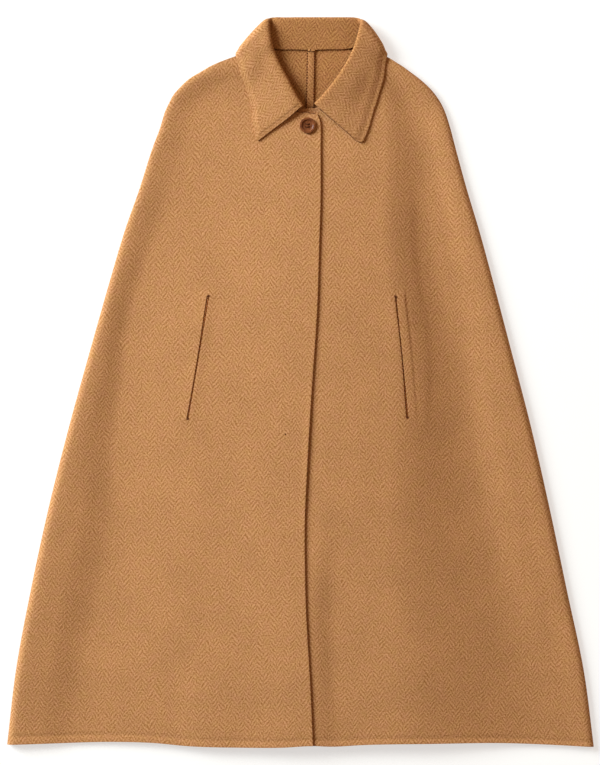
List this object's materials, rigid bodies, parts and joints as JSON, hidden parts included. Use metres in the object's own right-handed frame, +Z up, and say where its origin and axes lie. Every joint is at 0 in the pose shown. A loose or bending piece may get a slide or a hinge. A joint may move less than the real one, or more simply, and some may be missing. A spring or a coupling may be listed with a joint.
{
  "type": "wool cape",
  "caption": "Long flared wool cape laid flat, with turned-down pointed collar, lapped front with a button at the neck, and welted arm slits.",
  "frame": {"origin": "centre of the cape's bounding box, on the surface that its back lies on", "axes": "+Y along the length, towards the collar; +X across, towards the wearer's left; +Z up from the surface"},
  "size_m": [0.8506, 1.0587, 0.0271],
  "materials": {
    "wool_cloth": "brushed camel herringbone wool",
    "horn_button": "polished dark brown horn"
  },
  "bodies": {
    "root": {"front_right": "wool_cloth", "front_left": "wool_cloth", "back_right": "wool_cloth", "back_left": "wool_cloth", "centre_back_strap": "wool_cloth", "collar": "wool_cloth", "welt_right": "wool_cloth", "welt_left": "wool_cloth", "button": "horn_button"}
  },
  "joints": []
}
